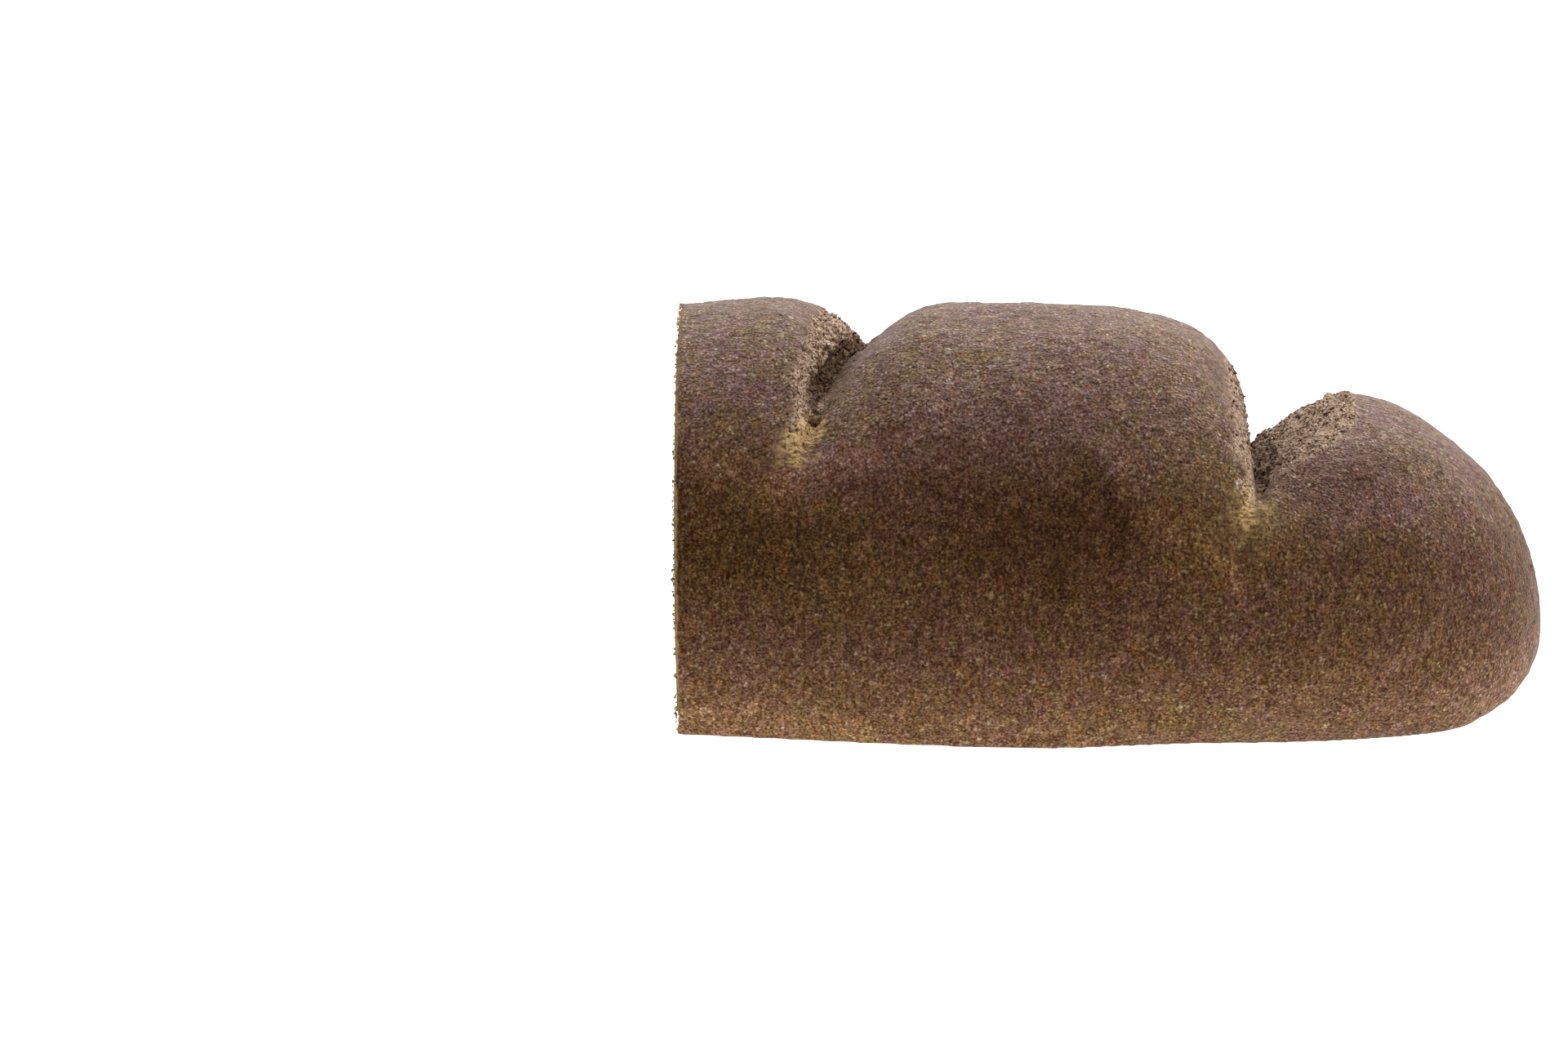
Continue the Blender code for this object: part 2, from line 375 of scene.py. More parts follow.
SECOND_HOLLOW = {
    -34: (0.6, 0.6), -31: (-0.7, 1), -27: (-1.3, 2.4), -20: (-1.3, 4.4),
    -10: (-1.3, 5.6), 7: (-1.3, 5.8), 40: (-1, 4), 60: (0, 0),
}
SECOND_HOLLOW_SHARE = 0.62
SECOND_HOLLOW_FOOT = (46, 49)
SECOND_SHADE = 0.15
HOLLOW_ROUGH = {2.4: 1.1, 1: 0.7}
HOLLOW_RAGGED = 2.0
HOLLOW_SOFT = (-1.5, 0.7, 0.6, -0.6)
HOLLOW_OPENS = (0.6, 2.4)
PALE_BLOTCHES = {2.6: 0.45}
PALE_STREAKS = {1.2: 0.40}
STREAK_STRETCH = np.array((0.4, 1.0, 1.6))
PALE_SOFT = (1.3, 0.65)
# Each patch of pale dough has its middle, its reach along X, Y and Z, and its strength.
PALE_ENDS = {
    (-60.6, -35.4, 63): (2.8, 5, 4.4, 1),
    (-63.2, -39.8, 61): (4.2, 5, 4.6, 0.8),
    (26.6, -45.8, 50): (2.1, 3.6, 3.4, 0.7),
    (27, -42.8, 53.6): (1.5, 2.5, 3, 0.5),
    (27.5, -44, 48.5): (6, 6.5, 7, 0.22),
    (30.2, -32, 48.5): (3, 7, 4, 0.3),
}


def from_table(values, table):
    """The widths of a table, and those in between."""
    return np.interp(values, list(table), list(table.values()))


def first_tear(spots, wander):
    """The torn face of the first slash. Its edge wanders to and fro."""
    across = past_first(spots)
    width = from_table(spots[:, 1], FIRST_WIDTHS) + wander
    whole = step(-across, width - TEAR_EDGE, width + TEAR_EDGE)
    return (1.0 - whole) * step(across, *FIRST_TEAR_ENDS) * step(spots[:, 2], *FIRST_TEAR_HEIGHT)


def ridge_width(spots):
    """How far past the second slash's valley its ridge stands."""
    return from_table(spots[:, 1], SECOND_RIDGE)


def second_tear(spots, wander):
    """The torn slope past the second slash's valley, and the thin torn strip on the wall before it."""
    across = past_second(spots)
    width = ridge_width(spots) + wander / RIDGE_CALM
    whole = step(across, width - TEAR_EDGE / 2, width + TEAR_EDGE / 2)
    strip = from_table(spots[:, 2], WALL_STRIP) + WALL_RAGGED * wander
    wall = step(across, -strip - TEAR_EDGE, -strip)
    above = WALL_SHARE * step(spots[:, 2] + wander, *SECOND_TEAR_HEIGHT)
    inside = step(spots[:, 1] + wander, *SECOND_TEAR_FRONT) * step(spots[:, 2], *SECOND_TEAR_FOOT)
    return (1.0 - whole) * wall * np.where(across > WALL_ENDS, inside, above)


def between(spots, across, table):
    """A band along a valley between the two sides of a table."""
    loose = layered(spots, HOLLOW_ROUGH)
    across = across + loose
    along = spots[:, 1] + HOLLOW_RAGGED * loose
    left, right = (np.interp(along, list(table), side) for side in zip(*table.values()))
    left_out, left_in, right_out, right_in = HOLLOW_SOFT
    band = step(across, left + left_out, left + left_in) * step(across, right + right_out, right + right_in)
    return band * step(right - left, *HOLLOW_OPENS)


def first_hollow(spots):
    """The pocket between the first slash's ledge and the shoulder past it, which gets painted shade."""
    return between(spots, past_first(spots), FIRST_HOLLOW)


def second_hollow(spots):
    """The rough valley of the second slash, which gets painted shade."""
    band = between(spots, past_second(spots), SECOND_HOLLOW)
    return SECOND_HOLLOW_SHARE * band * step(spots[:, 2], *SECOND_HOLLOW_FOOT)


def pale_dough(spots):
    """The patches of pale dough, broken up as torn dough is."""
    shown = np.zeros(len(spots))
    broken = layered(spots, PALE_BLOTCHES) + layered(spots * STREAK_STRETCH, PALE_STREAKS)
    for middle, (*sizes, strength) in PALE_ENDS.items():
        away = np.linalg.norm((spots - np.array(middle)) / np.array(sizes), axis=1)
        shown = np.maximum(shown, strength * step(away + broken, *PALE_SOFT))
    return shown


def torn_share(spots):
    """How much each spot belongs to one torn face or the other."""
    wander = layered(spots, TEAR_ROUGH)
    return np.maximum(first_tear(spots, wander), second_tear(spots, wander))


spots = spots_of(skin)
torn = torn_share(spots)
print("torn share of the skin:", round(float(torn.mean()), 3))

# %% [markdown]
# ## Smoothing
#
# Risen dough is round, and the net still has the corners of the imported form. A Smooth modifier would
# take them away everywhere. Here many rounds of smoothing work on whole crust, fewer where it is
# torn, and none at the cut or the base, which stay crisp.

# %% Smoothing
SMOOTH_ROUNDS = 36
TORN_ROUNDS = 6
SMOOTHING = 0.5
WHOLE_BELOW = 0.3
CRISP_AT_CUT = 0.9
CRISP_AT_BASE = 1.0
ALL_AXES = {"use_axis_x": True, "use_axis_y": True, "use_axis_z": True}

shape = bmesh.new()
shape.from_mesh(skin)
shape.verts.ensure_lookup_table()
dome = (behind_cut(spots) > CRISP_AT_CUT) & (spots[:, 2] > CRISP_AT_BASE)
all_dome = [vertex for vertex in shape.verts if dome[vertex.index]]
whole_crust = [vertex for vertex in all_dome if torn[vertex.index] < WHOLE_BELOW]
for turn in range(SMOOTH_ROUNDS):
    chosen = all_dome if turn < TORN_ROUNDS else whole_crust
    bmesh.ops.smooth_vert(shape, verts=chosen, factor=SMOOTHING, **ALL_AXES)
skin = mesh_of(shape, "skin")
spots = spots_of(skin)
print("smoothed skin, mm:", (spots.max(axis=0) - spots.min(axis=0)).round(2))

# %% [markdown]
# ## Masks for the finish
#
# Before any relief is pushed in, each mask is written to the points of the net, where a material can
# read it as an attribute, so it stays on its dough. Besides the tears there are masks for the sliced
# rim, the crown, which gets a painted sheen, the foot, which gets painted light from the floor, a
# painted shade along the flank and under folds, painted highlights on raised folds and more painted
# light at the foot, and the zones that lean from purple to ochre. Noise alone would spread these over
# the whole loaf.

# %% Masks for the finish
# Each patch has its middle, its reach along X, Y and Z, and its strength. The dark ones are painted shade on
# the flank and under folds and ridges.
DARK_PATCHES = {
    (-76, -50, 43): (20, 9, 9, 0.58),
    (-24, -50, 47): (14, 9, 14, 0.45),
    (-4, -50, 47): (16, 9, 13, 0.85),
    (44, -34, 53): (12, 9, 5, 0.80),
    (56, -26, 56): (12, 9, 7, 0.55),
    (-18, -38, 66): (16, 9, 8, 0.25),
    (-47, -30, 72): (8, 10, 8, 0.35),
    (55, -42, 42): (14, 9, 9, 0.35),
}
# Each painted highlight along a raised fold has its two ends, its width and its strength.
PAINTED_FOLD_HIGHLIGHTS = (
    ((-66, -46.4, 54), (-50, -42.5, 60.5), 6.5, 0.85),
    ((-66, -46.4, 54), (-80, -43.5, 59), 6, 0.50),
    ((0.5, -42, 63), (9, -49.5, 47.5), 4.5, 0.35),
    ((16.1, -49.5, 47), (25.5, -51.2, 35.7), 4.5, 0.50),
    ((11.5, -49.8, 49), (12.5, -52, 30), 3, 0.35),
)
# Patches of painted light, most at the foot, where the floor lights it.
PAINTED_LIGHT_PATCHES = {
    (-79, -43, 60): (10, 9, 6, 0.30),
    (12, -49.7, 46): (8, 9, 9, 0.20),
    (-72, -46, 3): (34, 9, 7, 0.65),
    (-10, -50, 2): (40, 9, 6, 0.35),
}
VIOLET_PATCHES = {
    (-57, -43, 58): (15, 9, 6, 0.7),
    (-20, -36, 66): (22, 12, 9, 0.4),
    (48, -34, 52): (16, 12, 9, 0.6),
}
OCHRE_PATCHES = {
    (-74, -50, 42): (24, 10, 11, 1),
    (20, -47, 47): (12, 9, 14, 0.75),
    (18.5, -43, 57): (9, 9, 9, 0.9),
    (-52, -51, 30): (14, 9, 9, 0.45),
    (54, -42, 40): (14, 9, 10, 0.2),
    (32, -46, 44): (9, 9, 9, 0.5),
    (-20, -52, 36): (32, 9, 12, 0.2),
    (54, -46, 22): (28, 12, 12, 0.25),
}
PATCH_ROUGH = {7: 0.35}
PATCH_SOFT = (1.4, 0.2)
# A band of painted shade along the flank, mostly on the half towards the cut.
DARK_BAND = 0.45
DARK_BAND_FOOT = (20, 40)
DARK_BAND_TOP = (68, 52)
DARK_BAND_FADES = (-8, 12)
DARK_BAND_LOST = 0.8
DARK_BAND_ROUGH = {18: 0.5}
MOST_PAINTED_SHADE = 1.3
OCHRE_MIDDLE = 0.45
OCHRE_ROUGH = {16: 0.35}
SLICED_WITHIN = (1, 0.35)
SLICED_FACING = (0.3, 0.8)
CROWN_FACING = (0.38, 1)
FOOT_BELOW = (30, 0)


def write_mask(mesh, name, values):
    """One value for each point, which a material reads by its name."""
    mask = mesh.attributes.new(name, "FLOAT", "POINT")
    mask.data.foreach_set("value", np.asarray(values, np.float32))


def near_line(spots, start, end, width):
    """From 1 on the straight line between two places to 0 at its width."""
    start, along = np.array(start), np.array(end) - np.array(start)
    share = np.clip((spots - start) @ along / (along @ along), 0.0, 1.0)
    away = np.linalg.norm(spots - start - share[:, None] * along, axis=1)
    return step(away, width, 0.0)


def patches(spots, places):
    """Soft patches that add up."""
    total = np.zeros(len(spots))
    loose = layered(spots, PATCH_ROUGH)
    for middle, (*reach, strength) in places.items():
        away = np.linalg.norm((spots - np.array(middle)) / np.array(reach), axis=1)
        total += strength * step(away + loose, *PATCH_SOFT)
    return total


def painted_shade_of(spots):
    """How much painted shade each spot gets: in a band along the flank, and in some patches under folds and
    ridges.
    """
    band = step(spots[:, 2], *DARK_BAND_FOOT) * step(spots[:, 2], *DARK_BAND_TOP)
    kept = 1.0 - DARK_BAND_LOST * step(spots[:, 0], *DARK_BAND_FADES)
    band *= DARK_BAND * kept * (1.0 + layered(spots, DARK_BAND_ROUGH))
    return np.clip(band + patches(spots, DARK_PATCHES), 0.0, MOST_PAINTED_SHADE)


def ochre_zones(spots):
    """From 0, violet crust, to 1, ochre crust."""
    share = OCHRE_MIDDLE + layered(spots, OCHRE_ROUGH) + patches(spots, OCHRE_PATCHES)
    return np.clip(share - patches(spots, VIOLET_PATCHES), 0.0, 1.0)


def painted_light(spots):
    """Painted light: highlights along raised folds beside the slashes, and patches, most at the foot of the
    loaf.
    """
    lines = [strength * near_line(spots, start, end, width) for start, end, width, strength in PAINTED_FOLD_HIGHLIGHTS]
    return np.clip(patches(spots, PAINTED_LIGHT_PATCHES) + sum(lines), 0.0, 1.0)


outward = column(skin, "normal")
torn = torn_share(spots)
hollow = np.maximum(first_hollow(spots), second_hollow(spots))
# The second slash's torn face gets a little of the hollows' painted shade and crags.
hollow = np.maximum(hollow, SECOND_SHADE * torn * (spots[:, 0] > 0.0))
facing_cut = outward @ np.array(CUT_NORMAL)
masks = {
    "torn": torn,
    "hollow": hollow,
    "pale": pale_dough(spots),
    "sliced": step(behind_cut(spots), *SLICED_WITHIN) * step(facing_cut, *SLICED_FACING),
    "crown": step(outward[:, 2], *CROWN_FACING),
    "low": step(spots[:, 2], *FOOT_BELOW),
    "painted_shade": painted_shade_of(spots),
    "painted_light": painted_light(spots),
    "ochre": ochre_zones(spots),
}
for name, values in masks.items():
    write_mask(skin, name, values)
print("masks and their means:", {name: round(float(values.mean()), 2) for name, values in masks.items()})

# %% [markdown]
# ## Relief of the crust
#
# Whole crust is drawn tight over the dough: shallow wrinkles and a fine grain of bran. A torn face
# is rough crumb that dried in the oven: deep crags, small pits, and under the first slash's ledge a
# pocket that goes in behind it. A few soft creases show where lobes of dough met. Sculpting would
# give all of this by hand. Here each is a push along the skin's own outward direction, and the
# pocket's goes sideways, so that the form underneath stays true and every depth is a number.

# %% Relief of the crust
WRINKLES = {14: 0.34, 6.5: 0.26, 2.6: 0.17, 1.5: 0.15}
CRAGS = {5: 1.5, 2.2: 1}
SECOND_CRAGS = 0.7
WALL_CRAGS = 0.35
HOLLOW_CRAGS = 0.9
RIDGE_RISE = 0.6
RIDGE_SPREAD = 1.3
RIDGE_INSIDE = 0.6
RIDGE_GROWS = (2, 8)
RIDGE_ABOVE = (44, 50)
CRAG_OCTAVES = 3
CRAG_MEAN = 0.4
TORN_SINK = 0.25
POCKET_PUSH = np.array((-1.6, 0.4, -0.7))
POCKET_STARTS = (-34, -21)
RELIEF_ABOVE = (0.8, 4)
RELIEF_BEHIND = (0.3, 1.6)
RIM_WITHIN = (1.4, 0.2)
RIM_CHIPS = 0.3
RIM_ROUGH = {1.1: 1, 2.6: 0.7}
PIT_SOFT = (1.3, 0.3)
# Each pit has its middle, its radius and its depth.
PITS = {(-60.1, -32.6, 64.2): (1.5, 1.8), (-61.9, -39.7, 60.3): (1.3, 1.2), (89.1, -13.9, 29.5): (1.6, 1.3)}
# Each crease has its two ends, its width and its depth. A negative one stands up.
CREASES = (
    ((-8.2, -42.9, 61.6), (1.1, -50, 48.1), 2.8, 0.60),
    ((-4.5, -41, 62.5), (6, -49.4, 48.1), 4, -0.50),
    ((-11, -50.1, 48), (-11.2, -52.4, 37), 3.4, 0.70),
    ((9.6, -49.8, 48.1), (10.2, -52.2, 26), 2.8, 0.65),
    ((16.1, -49.5, 47), (25.5, -51.2, 35.7), 3.8, -0.85),
    ((26, -47, 48), (25.4, -51.1, 36), 3.8, 1.00),
    ((-73, -46.2, 53.4), (-61, -47.6, 51.6), 3.2, -0.90),
    ((-61, -47.6, 51.6), (-47, -45.6, 56.5), 3.4, -0.90),
    ((-76, -49.4, 47), (-46, -49.6, 47.6), 5, 0.90),
    ((28.9, -43, 48.5), (29.9, -22, 47.5), 3.2, -1.50),
)


def dents(spots):
    """How deep pits and creases go in at each spot."""
    deep = np.zeros(len(spots))
    for middle, (radius, depth) in PITS.items():
        away = np.linalg.norm(spots - np.array(middle), axis=1)
        deep += depth * step(away, radius * PIT_SOFT[0], radius * PIT_SOFT[1])
    for start, end, width, depth in CREASES:
        deep += depth * near_line(spots, start, end, width)
    return deep


bare = step(spots[:, 2], *RELIEF_ABOVE) * step(behind_cut(spots), *RELIEF_BEHIND)
wrinkled = layered(spots, WRINKLES)
cragged = sum(
    depth * (grain(spots, size, noise.turbulence, CRAG_OCTAVES, True) - CRAG_MEAN)
    for size, depth in CRAGS.items()
)
second_rough = np.where(past_second(spots) > WALL_ENDS, SECOND_CRAGS + HOLLOW_CRAGS * hollow, WALL_CRAGS)
cragged = (cragged - TORN_SINK) * np.where(spots[:, 0] > 0.0, second_rough, 1.0)
ridge = (past_second(spots) - ridge_width(spots) + RIDGE_INSIDE) / RIDGE_SPREAD
ridge = RIDGE_RISE * np.exp(-ridge * ridge) * step(ridge_width(spots), *RIDGE_GROWS)
ridge *= step(spots[:, 2], *RIDGE_ABOVE)
lift = bare * (wrinkled * (1.0 - torn) + cragged * torn + ridge - dents(spots))
pushed = first_hollow(spots) * bare * step(spots[:, 1], *POCKET_STARTS)
spots += outward * lift[:, None] + POCKET_PUSH * pushed[:, None]
rim_share = step(behind_cut(spots), *RIM_WITHIN) * step(spots[:, 2], *RELIEF_ABOVE)
chipped = RIM_CHIPS * layered(spots, RIM_ROUGH) - RIM_CHIPS
spots += np.array(CUT_NORMAL) * (rim_share * chipped)[:, None]
put_spots(skin, spots)
print("relief from", round(float(lift.min()), 2), "to", round(float(lift.max()), 2), "mm")

# %% [markdown]
# ## Thinning the net
#
# The flat base and the pocket need no fine net. A coarser voxel would lose the crags with them, but
# Decimate takes points away where the surface is flattest, keeps the piece under two hundred
# thousand triangles, and carries the masks on the points over.

# %% Thinning the net
SKIN_TRIANGLES = 190000


def keep_inside(spots):
    """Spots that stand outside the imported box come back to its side."""
    return np.clip(spots, np.array(LOAF_LOW) / MM, np.array(LOAF_HIGH) / MM)


def triangles(mesh):
    """How many triangles the faces of a mesh come to."""
    return sum(len(face.vertices) - 2 for face in mesh.polygons)


def new_piece(name, mesh, material):
    """A finished piece of the bread that rides on the loaf."""
    piece = placed(name, mesh)
    mesh.materials.clear()
    mesh.materials.append(material)
    mesh.shade_smooth()
    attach(piece, "root")
    print(name, "has", triangles(mesh), "triangles")
    return piece


dense = triangles(skin)
skin = worked(skin, "DECIMATE", ratio=min(1.0, SKIN_TRIANGLES / dense))
put_spots(skin, keep_inside(spots_of(skin)))
skin.update()
print("thinned from", dense, "to", triangles(skin), "triangles")

# %% [markdown]
# ## A wire for the finishes
#
# A finish is a net of nodes that ends in a Principled shader. Placing each node and drawing each
# link soon hides the idea. Here one small class holds a node's output, and its operators add the
# Math nodes, so a mask is written as the sum that it is.

# %% A wire for the finishes
class Wire:
    """The output of a node. Sums with it add Math nodes, and node() adds any other."""

    def __init__(self, socket):
        self.socket = socket

    @staticmethod
    def node(tree, kind, settings, sockets, output=0):
        """A new node of any type: its settings first, then the values or links of its sockets."""
        made = tree.nodes.new(kind)
        for name, value in settings.items():
            setattr(made, name, value)
        for name, value in sockets.items():
            if isinstance(value, Wire):
                tree.links.new(value.socket, made.inputs[name])
            else:
                made.inputs[name].default_value = value
        return Wire(made.outputs[output])

    def sum(self, operation, first, second):
        tree = self.socket.id_data
        return Wire.node(tree, "ShaderNodeMath", {"operation": operation}, {0: first, 1: second})

    def __add__(self, other):
        return self.sum("ADD", self, other)

    def __radd__(self, other):
        return self.sum("ADD", other, self)

    def __sub__(self, other):
        return self.sum("SUBTRACT", self, other)

    def __rsub__(self, other):
        return self.sum("SUBTRACT", other, self)

    def __mul__(self, other):
        return self.sum("MULTIPLY", self, other)

    def __rmul__(self, other):
        return self.sum("MULTIPLY", other, self)


# %% Helpers of the finishes
class Finish:
    """A new material, the places on its piece, and the nodes that bread needs most."""

    def __init__(self, name):
        self.material = bpy.data.materials.new(name)
        self.material.use_nodes = True
        self.tree = self.material.node_tree
        self.shader = self.tree.nodes["Principled BSDF"]
        self.place = self.node("ShaderNodeTexCoord", {}, {}, "Object")

    def node(self, kind, settings, sockets, output=0):
        return Wire.node(self.tree, kind, settings, sockets, output)

    def mask(self, name):
        """A value that was written to the points of the piece."""
        return self.node("ShaderNodeAttribute", {"attribute_name": name}, {}, "Fac")

    def stretched(self, factors):
        """Places made longer or shorter along each axis."""
        return self.node("ShaderNodeVectorMath", {"operation": "MULTIPLY"}, {0: self.place, 1: factors})

    def cloud(self, size, detail=3.0, place=None):
        """Soft noise from 0 to 1 with spots of about that size in millimetres."""
        sockets = {"Vector": place or self.place, "Scale": 1.0 / (size * MM), "Detail": detail}
        return self.node("ShaderNodeTexNoise", {}, sockets, "Fac")

    def cells(self, size, output, place=None):
        """Cells of about that size: how far the middle is, or one random value for each cell."""
        sockets = {"Vector": place or self.place, "Scale": 1.0 / (size * MM)}
        found = self.node("ShaderNodeTexVoronoi", {}, sockets, output)
        if output == "Distance":
            return found
        return self.node("ShaderNodeSeparateColor", {}, {"Color": found}, "Red")

    def ramp(self, value, start, end, low=0.0, high=1.0):
        """A soft step of a value, from low to high."""
        settings = {"interpolation_type": "SMOOTHSTEP"}
        sockets = {"Value": value, "From Min": start, "From Max": end, "To Min": low, "To Max": high}
        return self.node("ShaderNodeMapRange", settings, sockets, "Result")

    def mixed(self, share, first, second, blend="MIX"):
        """Two colours mixed. A share of 0 gives the first and 1 the second."""
        colours = [(*colour, 1.0) if isinstance(colour, tuple) else colour for colour in (first, second)]
        settings = {"data_type": "RGBA", "blend_type": blend, "clamp_factor": True}
        return self.node("ShaderNodeMix", settings, {0: share, 6: colours[0], 7: colours[1]}, 2)

    def scaled(self, share, colour, factors):
        """A colour made lighter or darker by factors, as far as the share says."""
        return self.mixed(share, colour, factors, "MULTIPLY")

    def tinted(self, colour, share, first, second):
        """A colour times the first factors, or the second where the share is 1."""
        return self.scaled(1.0, colour, self.mixed(share, first, second))

    def grains(self, size, fade, chosen, place):
        """A grain in some of the cells: how it fades from its middle, and how cells are chosen."""
        share = self.ramp(self.cells(size, "Distance", place), *fade)
        return share * self.ramp(self.cells(size, "Color", place), *chosen)

    def wobbled(self, size, amount):
        """Places that wander by about half the amount, so that cells get loose outlines."""
        sockets = {"Vector": self.place, "Scale": 1.0 / (size * MM)}
        drift = self.node("ShaderNodeTexNoise", {}, sockets, "Color")
        sockets = {0: drift, 1: (amount * MM,) * 3, 2: self.place}
        return self.node("ShaderNodeVectorMath", {"operation": "MULTIPLY_ADD"}, sockets)

    def relief(self, height, distance):
        sockets = {"Height": height, "Strength": 1.0, "Distance": distance * MM}
        return self.node("ShaderNodeBump", {}, sockets, "Normal")

    def done(self, **sockets):
        """Sets or links the shader's sockets and gives the material."""
        for name, value in sockets.items():
            socket = self.shader.inputs[name.replace("_", " ").title().replace("Ior", "IOR")]
            if isinstance(value, Wire):
                self.tree.links.new(value.socket, socket)
            else:
                socket.default_value = value
        print(self.material.name, "has", len(self.tree.nodes), "nodes")
        return self.material


# %% [markdown]
# ## Finish of the crust
#
# Wholemeal crust is a dark purplish brown skin, full of small ochre grains of bran with a few large
# pale flakes and dark scorched ones. The torn faces are lighter and freckled, the slice round the
# cut is golden brown. One colour with a little noise would look like clay, so every kind of grain
# has its own cells here, and each has the size it has on the bread.

# %% Colours of the crust
# Linear red, green and blue of the skin, of its grains and of torn dough.
CRUST = (0.074, 0.0315, 0.0150)
RUSTY = (0.118, 0.040, 0.0145)
BRAN = (0.170, 0.094, 0.050)
PALE_FLAKE = (0.27, 0.175, 0.098)
SCORCHED = (0.024, 0.0092, 0.0044)
TORN_CRUMB = (0.51, 0.365, 0.260)
TORN_SHADE = (0.230, 0.138, 0.083)
TORN_SPECK = (0.060, 0.032, 0.018)
# Painted shade for the hollows: their dark ground and the darkened crumb in them.
PAINTED_HOLLOW_SHADE = (0.032, 0.0135, 0.0055)
HOLLOW_CRUMB_PAINTED_SHADE = (0.190, 0.102, 0.045)
TAN_DOUGH = (0.68, 0.450, 0.178)
SLICED_CRUST = (0.27, 0.155, 0.050)
# Factors for red, green and blue that tint or shade the colour that is already there.
GRAIN_DARK = (0.57, 0.450, 0.370)
GRAIN_LIGHT = (1.71, 2.08, 2.66)
TONE_DARK = (0.86, 0.84, 0.82)
TONE_LIGHT = (1.14, 1.16, 1.18)
VIOLET = (1.03, 0.940, 1.08)
OCHRE = (1.03, 1.08, 0.68)
# Painted sheen: the up-facing crown made lighter and greyer.
PAINTED_CROWN_SHEEN = (1.64, 2.06, 2.78)
# Painted light from the floor, lighter towards the foot.
PAINTED_FLOOR_LIGHT = (1.92, 2.12, 2.0)
# Painted shade on the flank and under folds and ridges.
PAINTED_SHADE_FACTORS = (0.62, 0.55, 0.39)
# Painted highlights on raised folds and painted light at the foot.
PAINTED_LIGHT_FACTORS = (1.66, 1.68, 1.60)

# %% Grains of the crust
# Each kind has its size, how it fades, how its cells are chosen, its strength and its colour.
GRAINS = {
    "bran": (0.8, (0.70, 0.10), (0.1, 1.0), 0.9, BRAN),
    "flakes": (2.5, (0.24, 0.08), (0.50, 0.85), 0.55, PALE_FLAKE),
    "scorched": (1.4, (0.40, 0.12), (0.50, 0.85), 0.9, SCORCHED),
}
WOBBLE = 1.3
RUSTY_SIZE = 2.2
RUSTY_MOST = 0.6
STREAK_SIZE = 0.8
STREAKS_ALONG = (0.30, 0.8, 1.0)
STREAKS_UPRIGHT = (1.0, 0.8, 0.33)
FINE_SIZE = 0.5
FINE_SHARE = 0.7

finish = Finish("dark speckled crust")
loose = finish.wobbled(WOBBLE, WOBBLE)
along = finish.cloud(STREAK_SIZE, place=finish.stretched(STREAKS_ALONG))
upright = finish.cloud(STREAK_SIZE, place=finish.stretched(STREAKS_UPRIGHT))
streaks = upright + finish.mask("crown") * (along - upright)
rusty_share = finish.ramp(finish.cloud(RUSTY_SIZE), 0.50, 0.68)
colour = finish.mixed(rusty_share * RUSTY_MOST, CRUST, RUSTY)
shares = {}
for kind, (size, fade, chosen, strength, tint) in GRAINS.items():
    shares[kind] = finish.grains(size, fade, chosen, loose)
    colour = finish.mixed(shares[kind] * strength, colour, tint)
fine = finish.cloud(FINE_SIZE) * FINE_SHARE + streaks * (1.0 - FINE_SHARE)
fine_share = finish.ramp(fine, 0.39, 0.61)
colour = finish.tinted(colour, fine_share, GRAIN_DARK, GRAIN_LIGHT)
print("kinds of grain:", list(shares))

# %% Zones of the crust
TONE_SIZE = 3.4
OCHRE_WIDE = 3.6
OCHRE_FINE = 1.1
SHADE_SPARED_BY_GRAIN = 0.5

tone_share = finish.ramp(finish.cloud(TONE_SIZE, 2.0), 0.3, 0.7)
colour = finish.tinted(colour, tone_share, TONE_DARK, TONE_LIGHT)
ochre_share = finish.mask("ochre") + 2.3 * finish.cloud(OCHRE_WIDE, 4.0)
ochre_share = ochre_share + 1.5 * finish.cloud(OCHRE_FINE, 2.0) - 1.9
colour = finish.tinted(colour, ochre_share, VIOLET, OCHRE)
# Painted shade on the flank and under folds, weaker on the light grains.
painted_shade_share = finish.mask("painted_shade") * (1.25 - SHADE_SPARED_BY_GRAIN * fine_share)
# Painted sheen on the crown.
colour = finish.scaled(finish.mask("crown"), colour, PAINTED_CROWN_SHEEN)
colour = finish.scaled(painted_shade_share, colour, PAINTED_SHADE_FACTORS)
# Painted highlights on raised folds and painted light at the foot.
colour = finish.scaled(finish.mask("painted_light"), colour, PAINTED_LIGHT_FACTORS)
# Painted light from the floor, growing towards the foot.
colour = finish.scaled(finish.mask("low"), colour, PAINTED_FLOOR_LIGHT)

# %% Torn dough
CRUMBLY_SIZE = 0.62
FIBRE_SIZE = 0.6
FIBRES_ALONG = (0.28, 0.8, 1.0)
TAN_MOST = 0.95
TAN_SPARES = 0.8
HOLLOW_MOST = 0.95

crumbly = finish.cloud(CRUMBLY_SIZE, 4.0)
freckles = finish.ramp(crumbly, 0.55, 0.63)
torn_colour = finish.mixed(finish.ramp(crumbly, 0.40, 0.56), TORN_CRUMB, TORN_SHADE)
torn_colour = finish.mixed(freckles, torn_colour, TORN_SPECK)
colour = finish.mixed(finish.mask("torn"), colour, torn_colour)
fibres = finish.cloud(FIBRE_SIZE, 2.0, finish.stretched(FIBRES_ALONG))
tan_share = finish.ramp(fibres, 0.42, 0.56, 0.25, 1.0) * finish.mask("pale")
colour = finish.mixed(tan_share * (TAN_MOST - TAN_SPARES * freckles), colour, TAN_DOUGH)
# The hollows get painted shade, a dark ground freckled with darkened crumb.
hollow_painted_shade = finish.mixed(finish.ramp(crumbly, 0.44, 0.55), HOLLOW_CRUMB_PAINTED_SHADE, PAINTED_HOLLOW_SHADE)
colour = finish.mixed(finish.mask("hollow") * HOLLOW_MOST, colour, hollow_painted_shade)
colour = finish.mixed(finish.mask("sliced"), colour, SLICED_CRUST)

